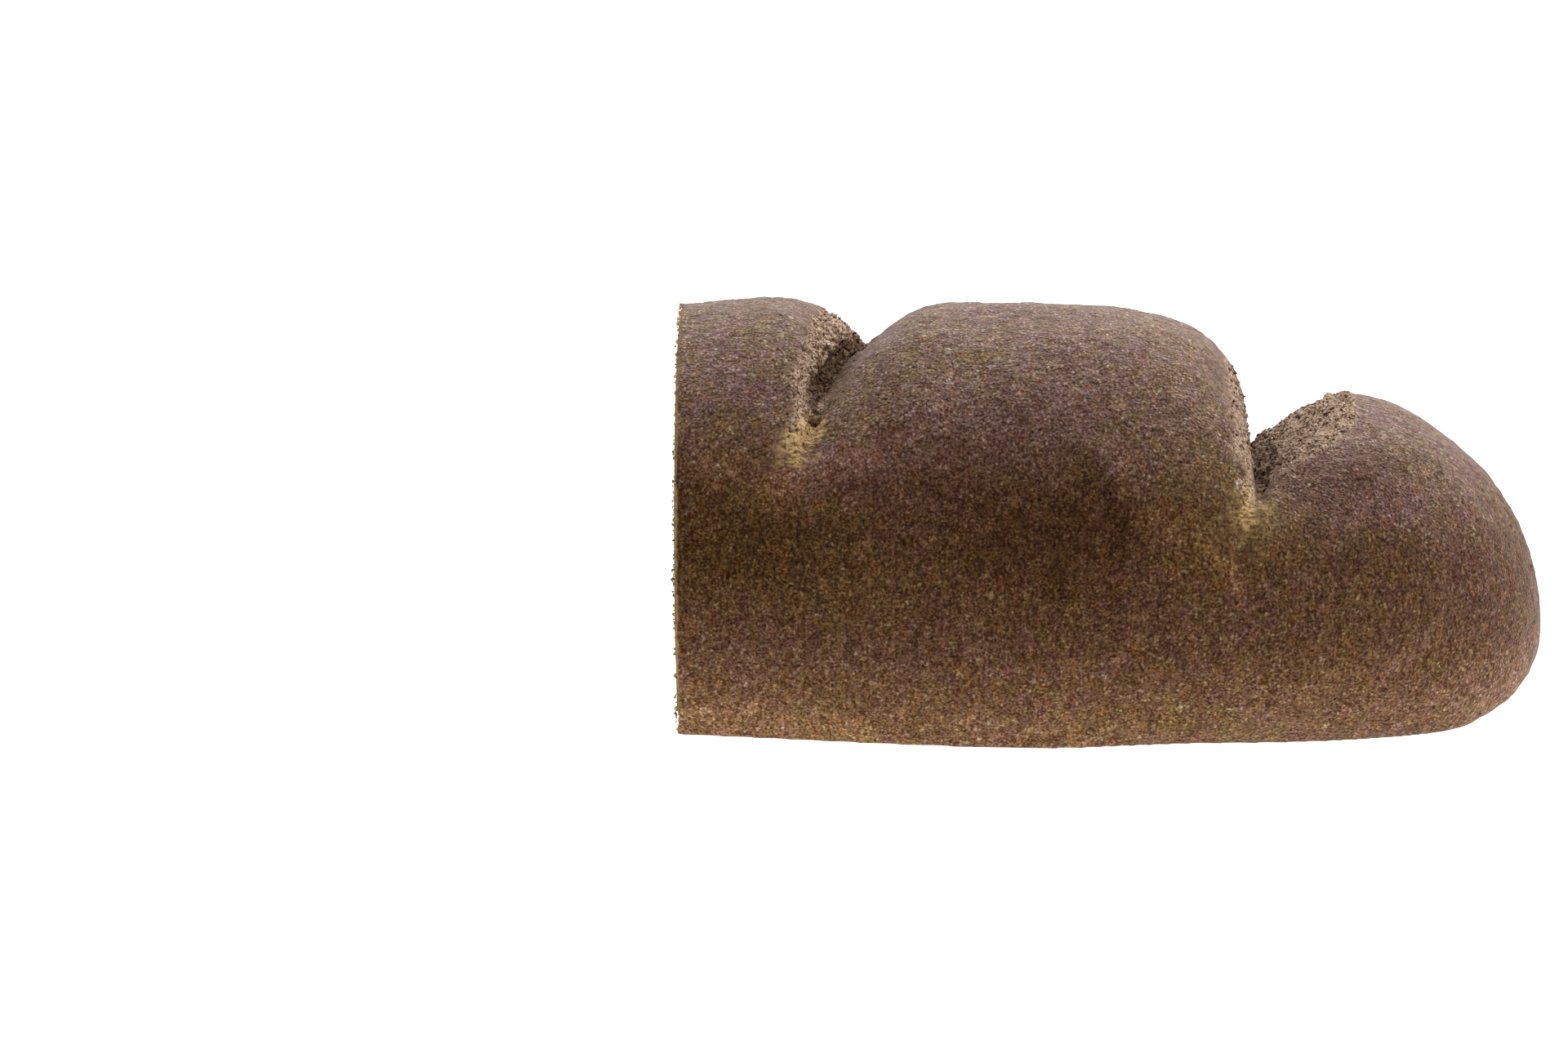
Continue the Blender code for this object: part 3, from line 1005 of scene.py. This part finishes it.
# %% Relief and sheen of the crust
BUMP_SIZE = 0.55
BUMP_DEPTH = 0.33
GRAIN_BUMP = 0.5
FINE_BUMP = 1.9

bumps = shares["bran"] * GRAIN_BUMP + shares["flakes"] * GRAIN_BUMP - shares["scorched"] * GRAIN_BUMP
crust_finish = finish.done(
    base_color=colour,
    roughness=finish.ramp(finish.cloud(3.0), 0.3, 0.7, 0.50, 0.66),
    normal=finish.relief(bumps + finish.cloud(BUMP_SIZE) * FINE_BUMP, BUMP_DEPTH),
    specular_ior_level=0.05,
    sheen_weight=0.14,
    sheen_roughness=0.3,
)

# %% The crust
crust = new_piece("crust", skin, crust_finish)
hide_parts("loaf")

# %% [markdown]
# ## Crumbs of the torn faces
#
# A tear isn't a smooth slope: the dough pulled apart into little shards, which dried hard and stand
# up from it, most of all on the skyline. Relief alone can't overhang, so about three thousand real
# shards are set on the torn faces. Each is a ball of twenty faces, flattened, knocked out of shape
# and turned at random with a fixed seed, and each keeps a tone of its own for the finish.

# %% Crumbs of the torn faces
SHARDS = 2800
SHARD_SIZES = (0.14, 0.52)
SHARD_SEED = 11
SMALL_OFTEN = 2.2
LEANING = 0.55
KNOCKED = 0.28
STANDS_PROUD = 0.15
SHARDS_ABOVE = 45.0
SHARDS_BEHIND = (6.0, 2.0)
BIG_SHARDS = 16
BIG_SHARD_SIZES = (0.40, 0.85)
BIG_SHARDS_AT = (35.3, 26.0, 47.4)
BIG_SHARDS_REACH = 3.0


def draw_in(draw, low, high):
    """A random value between two others, more often near the lower one."""
    return low + (high - low) * draw.random() ** SMALL_OFTEN


def add_shard(shape, place, facing, size, draw):
    """One angular crumb, partly sunk into what it stands on."""
    lean = Vector(draw.normal(0.0, LEANING, 3).tolist())
    turn = (facing + lean).to_track_quat("Z", "Y").to_matrix()
    turn = turn @ Matrix.Rotation(draw.random() * math.tau, 3, "Z")
    width = 0.5 + 0.4 * draw.random()
    thickness = 0.35 + 0.5 * draw.random()
    form = Matrix.Diagonal((size, size * width, size * thickness))
    lay = Matrix.Translation(place + facing * size * STANDS_PROUD) @ (turn @ form).to_4x4()
    made = bmesh.ops.create_icosphere(shape, subdivisions=1, radius=1.0, matrix=lay)["verts"]
    for vertex in made:
        vertex.co += Vector(draw.normal(0.0, KNOCKED * size, 3).tolist())
    return len(made)


def crumbs_mesh(name, places, facings, sizes, seed):
    """One mesh of many shards, each with its own tone."""
    draw = np.random.default_rng(seed)
    shape = bmesh.new()
    tones = []
    for place, facing, size in zip(places, facings, sizes):
        count = add_shard(shape, Vector(place) * MM, Vector(facing), size * MM, draw)
        tones.extend([draw.random()] * count)
    bmesh.ops.recalc_face_normals(shape, faces=shape.faces)
    mesh = mesh_of(shape, name)
    put_spots(mesh, keep_inside(spots_of(mesh)))
    write_mask(mesh, "tone", tones)
    return mesh


def read_mask(mesh, name):
    """A mask's values, one for each point."""
    values = np.empty(len(mesh.vertices), np.float32)
    mesh.attributes[name].data.foreach_get("value", values)
    return values


draw = np.random.default_rng(SHARD_SEED)
spots = spots_of(skin)
outward = column(skin, "normal")
rough = np.clip(read_mask(skin, "torn") + read_mask(skin, "hollow"), 0.0, 1.0)
rough *= (spots[:, 2] > SHARDS_ABOVE) * (1.0 - step(behind_cut(spots), *SHARDS_BEHIND))
picked = draw.choice(len(spots), SHARDS, replace=False, p=rough / rough.sum())
sizes = [draw_in(draw, *SHARD_SIZES) for _ in picked]
near = np.flatnonzero(np.linalg.norm(spots - np.array(BIG_SHARDS_AT), axis=1) < BIG_SHARDS_REACH)
picked = np.append(picked, draw.choice(near, BIG_SHARDS, replace=False))
sizes += [draw_in(draw, *BIG_SHARD_SIZES) for _ in range(BIG_SHARDS)]
shards_mesh = crumbs_mesh("torn_shards", spots[picked], outward[picked], sizes, SHARD_SEED + 1)
deep_share = read_mask(skin, "hollow")[picked]
write_mask(shards_mesh, "deep", np.repeat(deep_share, len(shards_mesh.vertices) // len(picked)))
print("shards:", len(picked), "sizes, mm:", round(min(sizes), 2), "to", round(max(sizes), 2))

# %% [markdown]
# ## Finish of the torn crumbs
#
# Dried crumbs differ more from one to the next than along one of them: most are pale, some brown,
# and a few scorched. A material for each would be slow, so one material picks the colour from the
# tone that every shard carries, and paints shade on those that sit deep in a hollow.

# %% Finish of the torn crumbs
SHARD_PALE = (0.52, 0.375, 0.268)
SHARD_BROWN = (0.17, 0.098, 0.054)
SHARD_DARK = (0.052, 0.028, 0.016)
SHARD_PAINTED_SHADE = (0.32, 0.205, 0.115)
MOTTLE_SIZE = 0.4
CRUMB_BUMP_SIZE = 0.3

finish = Finish("dried torn crumb")
tone = finish.mask("tone")
colour = finish.mixed(finish.ramp(tone, 0.35, 0.75), SHARD_PALE, SHARD_BROWN)
colour = finish.mixed(finish.ramp(tone, 0.84, 0.96), colour, SHARD_DARK)
colour = finish.scaled(1.0, colour, finish.ramp(finish.cloud(MOTTLE_SIZE), 0.3, 0.7, 0.6, 1.35))
# Painted shade on shards that sit deep in a hollow.
colour = finish.scaled(finish.mask("deep"), colour, SHARD_PAINTED_SHADE)
shard_finish = finish.done(
    base_color=colour,
    roughness=0.75,
    normal=finish.relief(finish.cloud(CRUMB_BUMP_SIZE), 0.1),
    specular_ior_level=0.2,
)
new_piece("torn_shards", shards_mesh, shard_finish)

# %% [markdown]
# ## The cut face
#
# The knife left a flat face of pale crumb inside the lip. Its pores are a landscape: a grid lies on
# the plane of the cut, is trimmed to the lip, and every pore sinks its points into the loaf. Pores
# cut with Booleans would be sharper, but a loaf has thousands. In the front lower corner the crust
# came away from the crumb as the dough rose, and a gap stays open there.

# %% The cut face
CRUMB_STEP = 0.33
CRUMB_HALF = (56.0, 43.0)
CRUMB_MIDDLE = 41.0
FACE_MIDDLE = (0.0, 36.5)
GAP_TURN = math.radians(214)
GAP_SPREAD = math.radians(17)
GAP_WIDTH = 3.8
GAP_REACH = 13.0
LIP_SEEN = 1.2
LIP_RAGGED = 0.45
LIP_FEATURE = 1.7
BORDER_SMOOTHING = 0.4

upwards = Vector((0.0, 0.0, 1.0))
sideways = upwards.cross(CUT_NORMAL)
half_width, half_height = CRUMB_HALF
lay = Matrix((sideways * half_width * MM, upwards * half_height * MM, CUT_NORMAL)).transposed().to_4x4()
lay.translation = Vector((CUT_AT, 0.0, CRUMB_MIDDLE)) * MM
counts = [round(2 * half / CRUMB_STEP) for half in CRUMB_HALF]
crumb_shape = bmesh.new()
bmesh.ops.create_grid(crumb_shape, x_segments=counts[0], y_segments=counts[1], size=1.0, matrix=lay)
print("grid on the cut:", len(crumb_shape.faces), "faces")


def from_crust(spot):
    """How far a spot of the cut face lies inside the crust's outer skin, and the way further in."""
    nearest, facing, _, _ = skin_tree.find_nearest(spot)
    away = spot - nearest
    away -= away.dot(CUT_NORMAL) * CUT_NORMAL
    inside = 1.0 if (spot - nearest).dot(facing) < 0.0 else -1.0
    return inside * away.length / MM, away.normalized() * inside


# %% Trimming the crumb
depths = {vertex: from_crust(vertex.co) for vertex in crumb_shape.verts}
outside = [vertex for vertex, (depth, _) in depths.items() if depth < LIP_SEEN - CRUMB_STEP / 4]
bmesh.ops.delete(crumb_shape, geom=outside, context="VERTS")
border = [vertex for vertex in crumb_shape.verts if vertex.is_boundary]
for vertex in border:
    depth, inwards = depths[vertex]
    edge = LIP_SEEN + LIP_RAGGED * noise.noise(vertex.co / (LIP_FEATURE * MM))
    vertex.co += inwards * (edge - depth) * MM
bmesh.ops.smooth_vert(crumb_shape, verts=border, factor=BORDER_SMOOTHING, **ALL_AXES)


def gap_width(spot):
    """How far the crumb stands off the lip at a spot."""
    turn = math.atan2(spot.z / MM - FACE_MIDDLE[1], spot.y / MM - FACE_MIDDLE[0]) % math.tau
    return GAP_WIDTH * math.exp(-(((turn - GAP_TURN) / GAP_SPREAD) ** 4))


for vertex in crumb_shape.verts:
    to_middle = Vector((vertex.co.x, FACE_MIDDLE[0] * MM, FACE_MIDDLE[1] * MM)) - vertex.co
    to_middle -= to_middle.dot(CUT_NORMAL) * CUT_NORMAL
    share = min(1.0, max(0.0, 1.0 - (depths[vertex][0] - LIP) / GAP_REACH))
    vertex.co += to_middle.normalized() * gap_width(vertex.co) * share * MM
print("crumb face:", len(crumb_shape.faces), "faces")

# %% [markdown]
# ## Pores
#
# Gas made the pores: a foam of small ones everywhere, fewer middle ones drawn out by the rising
# dough, and a few large ones. Cells of noise give each size its own middles, and a pore is a bowl
# round some of them. Wandering the places first keeps the bowls from being round.

# %% Pores
# For each size: up to which chance, from -1 to 1, a cell holds a pore, its reach and its depth.
PORES = {1.15: (0.6, 0.75, 0.38), 2.2: (-0.30, 0.50, 0.60), 4.6: (-0.62, 0.40, 0.9), 9.0: (-0.80, 0.28, 1.3)}
# For the middle of each hole, sideways and up: its half length, half height, turn and depth.
HOLES = {
    (-22.0, 17.0): (5.6, 2.1, 0.45, 2.0),
    (7.5, 44.0): (3.2, 1.9, -0.5, 1.7),
    (-12.0, 56.0): (2.4, 2.6, 0.3, 1.4),
    (-17.5, 58.5): (1.9, 1.3, 0.0, 1.5),
    (24.0, 29.0): (2.9, 1.4, -0.2, 1.2),
    (30.0, 52.0): (2.0, 1.5, 0.8, 1.2),
}
DRAWN_OUT = (1.0, 0.8, 1.25)
WANDER_SIZE = 0.7
WANDER = 0.45
HOLE_ROUGH = {1.5: 1.0, 3.9: 1.6}
HOLE_SOFT = (1.25, 0.2)
FADE_IN = 2.0
SUNK = 0.03
UNEVEN = 0.30
UNEVEN_ROUGH = {3.0: 0.6, 0.9: 0.4}


def wandered(spots, size):
    """Places that wander by up to a third of a pore's size."""
    drift = np.stack([grain(spots + 40.0 * turn, size * WANDER_SIZE) for turn in range(3)], axis=1)
    return (spots + drift * size * WANDER) * np.array(DRAWN_OUT)


def pores(spots):
    """How deep the pores of every size go in at each spot."""
    deep = np.zeros(len(spots))
    for size, (most, reach, depth) in PORES.items():
        for index, place in enumerate((wandered(spots, size) / size).tolist()):
            away, middles = noise.voronoi(place)
            chance = noise.cell(middles[0] * 31.7)
            if chance < most and away[0] < reach:
                bowl = 1.0 - (away[0] / reach) ** 2
                deep[index] = max(deep[index], depth * bowl)
    return deep


def holes(spots):
    """How deep the few large holes go in at each spot."""
    deep = np.zeros(len(spots))
    loose = np.stack([layered(spots + turn, HOLE_ROUGH) for turn in (60.0, 90.0)], axis=1)
    for middle, (length, height, turn, depth) in HOLES.items():
        away = spots[:, 1:] + loose - np.array(middle)
        along = (away[:, 0] * math.cos(turn) + away[:, 1] * math.sin(turn)) / length
        across = (away[:, 1] * math.cos(turn) - away[:, 0] * math.sin(turn)) / height
        deep = np.maximum(deep, depth * step(np.hypot(along, across), *HOLE_SOFT))
    return deep


crumb_shape.verts.index_update()
ordered = list(crumb_shape.verts)
crumb_depth = np.array([depths[vertex][0] for vertex in ordered])
spots = np.array([vertex.co[:] for vertex in ordered]) / MM
fade = step(crumb_depth, LIP_SEEN, LIP_SEEN + FADE_IN)
deep = np.maximum(pores(spots), holes(spots)) * fade
surface = -SUNK - deep - UNEVEN * (0.6 + layered(spots, UNEVEN_ROUGH)) * fade
for vertex, height in zip(ordered, surface):
    vertex.co += CUT_NORMAL * height * MM
print("pores sink the face by", round(float(deep.mean()), 2), "mm, at most", round(float(deep.max()), 2))

# %% [markdown]
# ## The crumb's own edge and back
#
# Crumb fills the loaf, but only its face is ever seen. A sheet would do for a picture, and leaves an
# open mesh. Its border is extruded back into the pocket and closed there, so it is solid, and the
# masks for its finish go onto its points.

# %% The crumb's own edge and back
CRUMB_BACK = 4.9
DEEPEST = 1.9
RING_WIDTH = 4.2
RING_WIDER = 2.6
RING_WIDER_BELOW = (14.0, 5.0)
RING_ROUGH = {4.0: 1.3, 1.3: 0.9}

border_edges = [edge for edge in crumb_shape.edges if edge.is_boundary]
back_points, back_edges = extruded(crumb_shape, border_edges)
bmesh.ops.translate(crumb_shape, verts=back_points, vec=-CUT_NORMAL * CRUMB_BACK * MM)
bmesh.ops.holes_fill(crumb_shape, edges=back_edges, sides=0)
bmesh.ops.recalc_face_normals(crumb_shape, faces=crumb_shape.faces)
crumb_mesh = mesh_of(crumb_shape, "crumb")
rest = len(crumb_mesh.vertices) - len(ordered)
ring = crumb_depth - layered(spots, RING_ROUGH)
ring_width = RING_WIDTH + RING_WIDER * step(spots[:, 2], *RING_WIDER_BELOW)
write_mask(crumb_mesh, "pore", np.append(np.clip(deep / DEEPEST, 0.0, 1.0), np.ones(rest)))
write_mask(crumb_mesh, "ring", np.append(step(ring / ring_width, 1.0, 0.0), np.ones(rest)))
write_mask(crumb_mesh, "gap", np.append(np.zeros(len(ordered)), np.ones(rest)))
print("crumb points:", len(ordered), "on the face,", rest, "behind it")

# %% [markdown]
# ## Finish of the crumb
#
# Fresh crumb is a pale greyish yellow with bran in it as in the crust, and its pores get painted shade.
# Towards the crust it dries and toasts to a golden brown ring. Noise alone could colour it, but
# would miss the pores. The masks on its points carry the pores and the ring, and cells of noise
# add the bran and the finest foam.

# %% Finish of the crumb
CRUMB_PALE = (0.43, 0.355, 0.235)
CRUMB_WARM = (0.37, 0.290, 0.170)
PORE_SHADE = (0.255, 0.190, 0.085)
TOASTED = (0.26, 0.150, 0.048)
GAP_PAINTED_SHADE = (0.120, 0.080, 0.030)
WARM_SIZE = 6.0
FOAM_SIZE = 0.7
CRUMB_BRAN = (2.2, (0.22, 0.12), (0.62, 0.80))

finish = Finish("open spelt crumb")
loose = finish.wobbled(1.2, 0.9)
colour = finish.mixed(finish.ramp(finish.cloud(WARM_SIZE), 0.35, 0.65), CRUMB_PALE, CRUMB_WARM)
foam = finish.ramp(finish.cells(FOAM_SIZE, "Distance", loose), 0.15, 0.55)
# Painted shade down in the pores, darkest in the deepest, and a little in the middle of each foam cell.
colour = finish.mixed(finish.mask("pore") * 0.75 + (1.0 - foam) * 0.16, colour, PORE_SHADE)
colour = finish.mixed(finish.grains(*CRUMB_BRAN, loose) * 0.8, colour, BRAN)
colour = finish.mixed(finish.mask("ring"), colour, TOASTED)
# The crumb's sides and back, seen only where it stands off the lip, get painted shade.
colour = finish.mixed(finish.mask("gap") * 0.9, colour, GAP_PAINTED_SHADE)
crumb_finish = finish.done(
    base_color=colour,
    roughness=0.78,
    normal=finish.relief(foam + finish.cloud(FINE_SIZE), 0.14),
    specular_ior_level=0.25,
)
new_piece("crumb", crumb_mesh, crumb_finish)

# %% [markdown]
# ## Crumbs on the cut edge
#
# A saw-toothed knife leaves crumbs hanging on the rim of the cut, a thin pale fringe against the
# dark crust. A particle system could strew them. They are made as the torn shards were, smaller, so
# that they keep their seed, and they sit where the lip meets the skin.

# %% Crumbs on the cut edge
EDGE_CRUMBS = 520
EDGE_SIZES = (0.13, 0.46)
EDGE_SEED = 5
EDGE_STANDS_OUT = 0.35
EDGE_SUNK = 0.55
EDGE_SPREAD = 0.5
EDGE_INSET = 0.15
EDGE_INWARD = 0.5
EDGE_AROUND = 3.0
EDGE_ABOVE = 1.5

draw = np.random.default_rng(EDGE_SEED)
rim_spots = np.array(sorted(inward)) / MM
rim_inward = np.array([inward[place][:] for place in sorted(inward)])
high_enough = rim_spots[:, 2] > EDGE_ABOVE
rim_spots = rim_spots[high_enough]
rim_inward = rim_inward[high_enough]
picked = draw.integers(len(rim_spots), size=EDGE_CRUMBS)
jitter = draw.normal(0.0, EDGE_SPREAD, (EDGE_CRUMBS, 2))
around = np.cross(rim_inward[picked], np.array(CUT_NORMAL))
places = rim_spots[picked] + rim_inward[picked] * (EDGE_INSET + EDGE_INWARD * np.abs(jitter[:, :1]))
places += around * EDGE_AROUND * jitter[:, 1:]
places += np.array(CUT_NORMAL) * EDGE_STANDS_OUT * (draw.random((EDGE_CRUMBS, 1)) - EDGE_SUNK)
sizes = [draw_in(draw, *EDGE_SIZES) for _ in picked]
facings = -rim_inward[picked] + np.array(CUT_NORMAL)
edge_mesh = crumbs_mesh("edge_crumbs", places, facings, sizes, EDGE_SEED + 1)
print("rim places:", len(rim_spots), "crumbs:", EDGE_CRUMBS)

# %% Finish of the crumbs on the cut edge
EDGE_PALE = (0.48, 0.37, 0.185)
EDGE_BROWN = (0.20, 0.115, 0.040)

finish = Finish("crumbs from the knife")
colour = finish.mixed(finish.ramp(finish.mask("tone"), 0.35, 0.85), EDGE_PALE, EDGE_BROWN)
colour = finish.scaled(1.0, colour, finish.ramp(finish.cloud(MOTTLE_SIZE), 0.3, 0.7, 0.7, 1.25))
edge_finish = finish.done(
    base_color=colour,
    roughness=0.8,
    normal=finish.relief(finish.cloud(CRUMB_BUMP_SIZE), 0.08),
    specular_ior_level=0.2,
)
new_piece("edge_crumbs", edge_mesh, edge_finish)
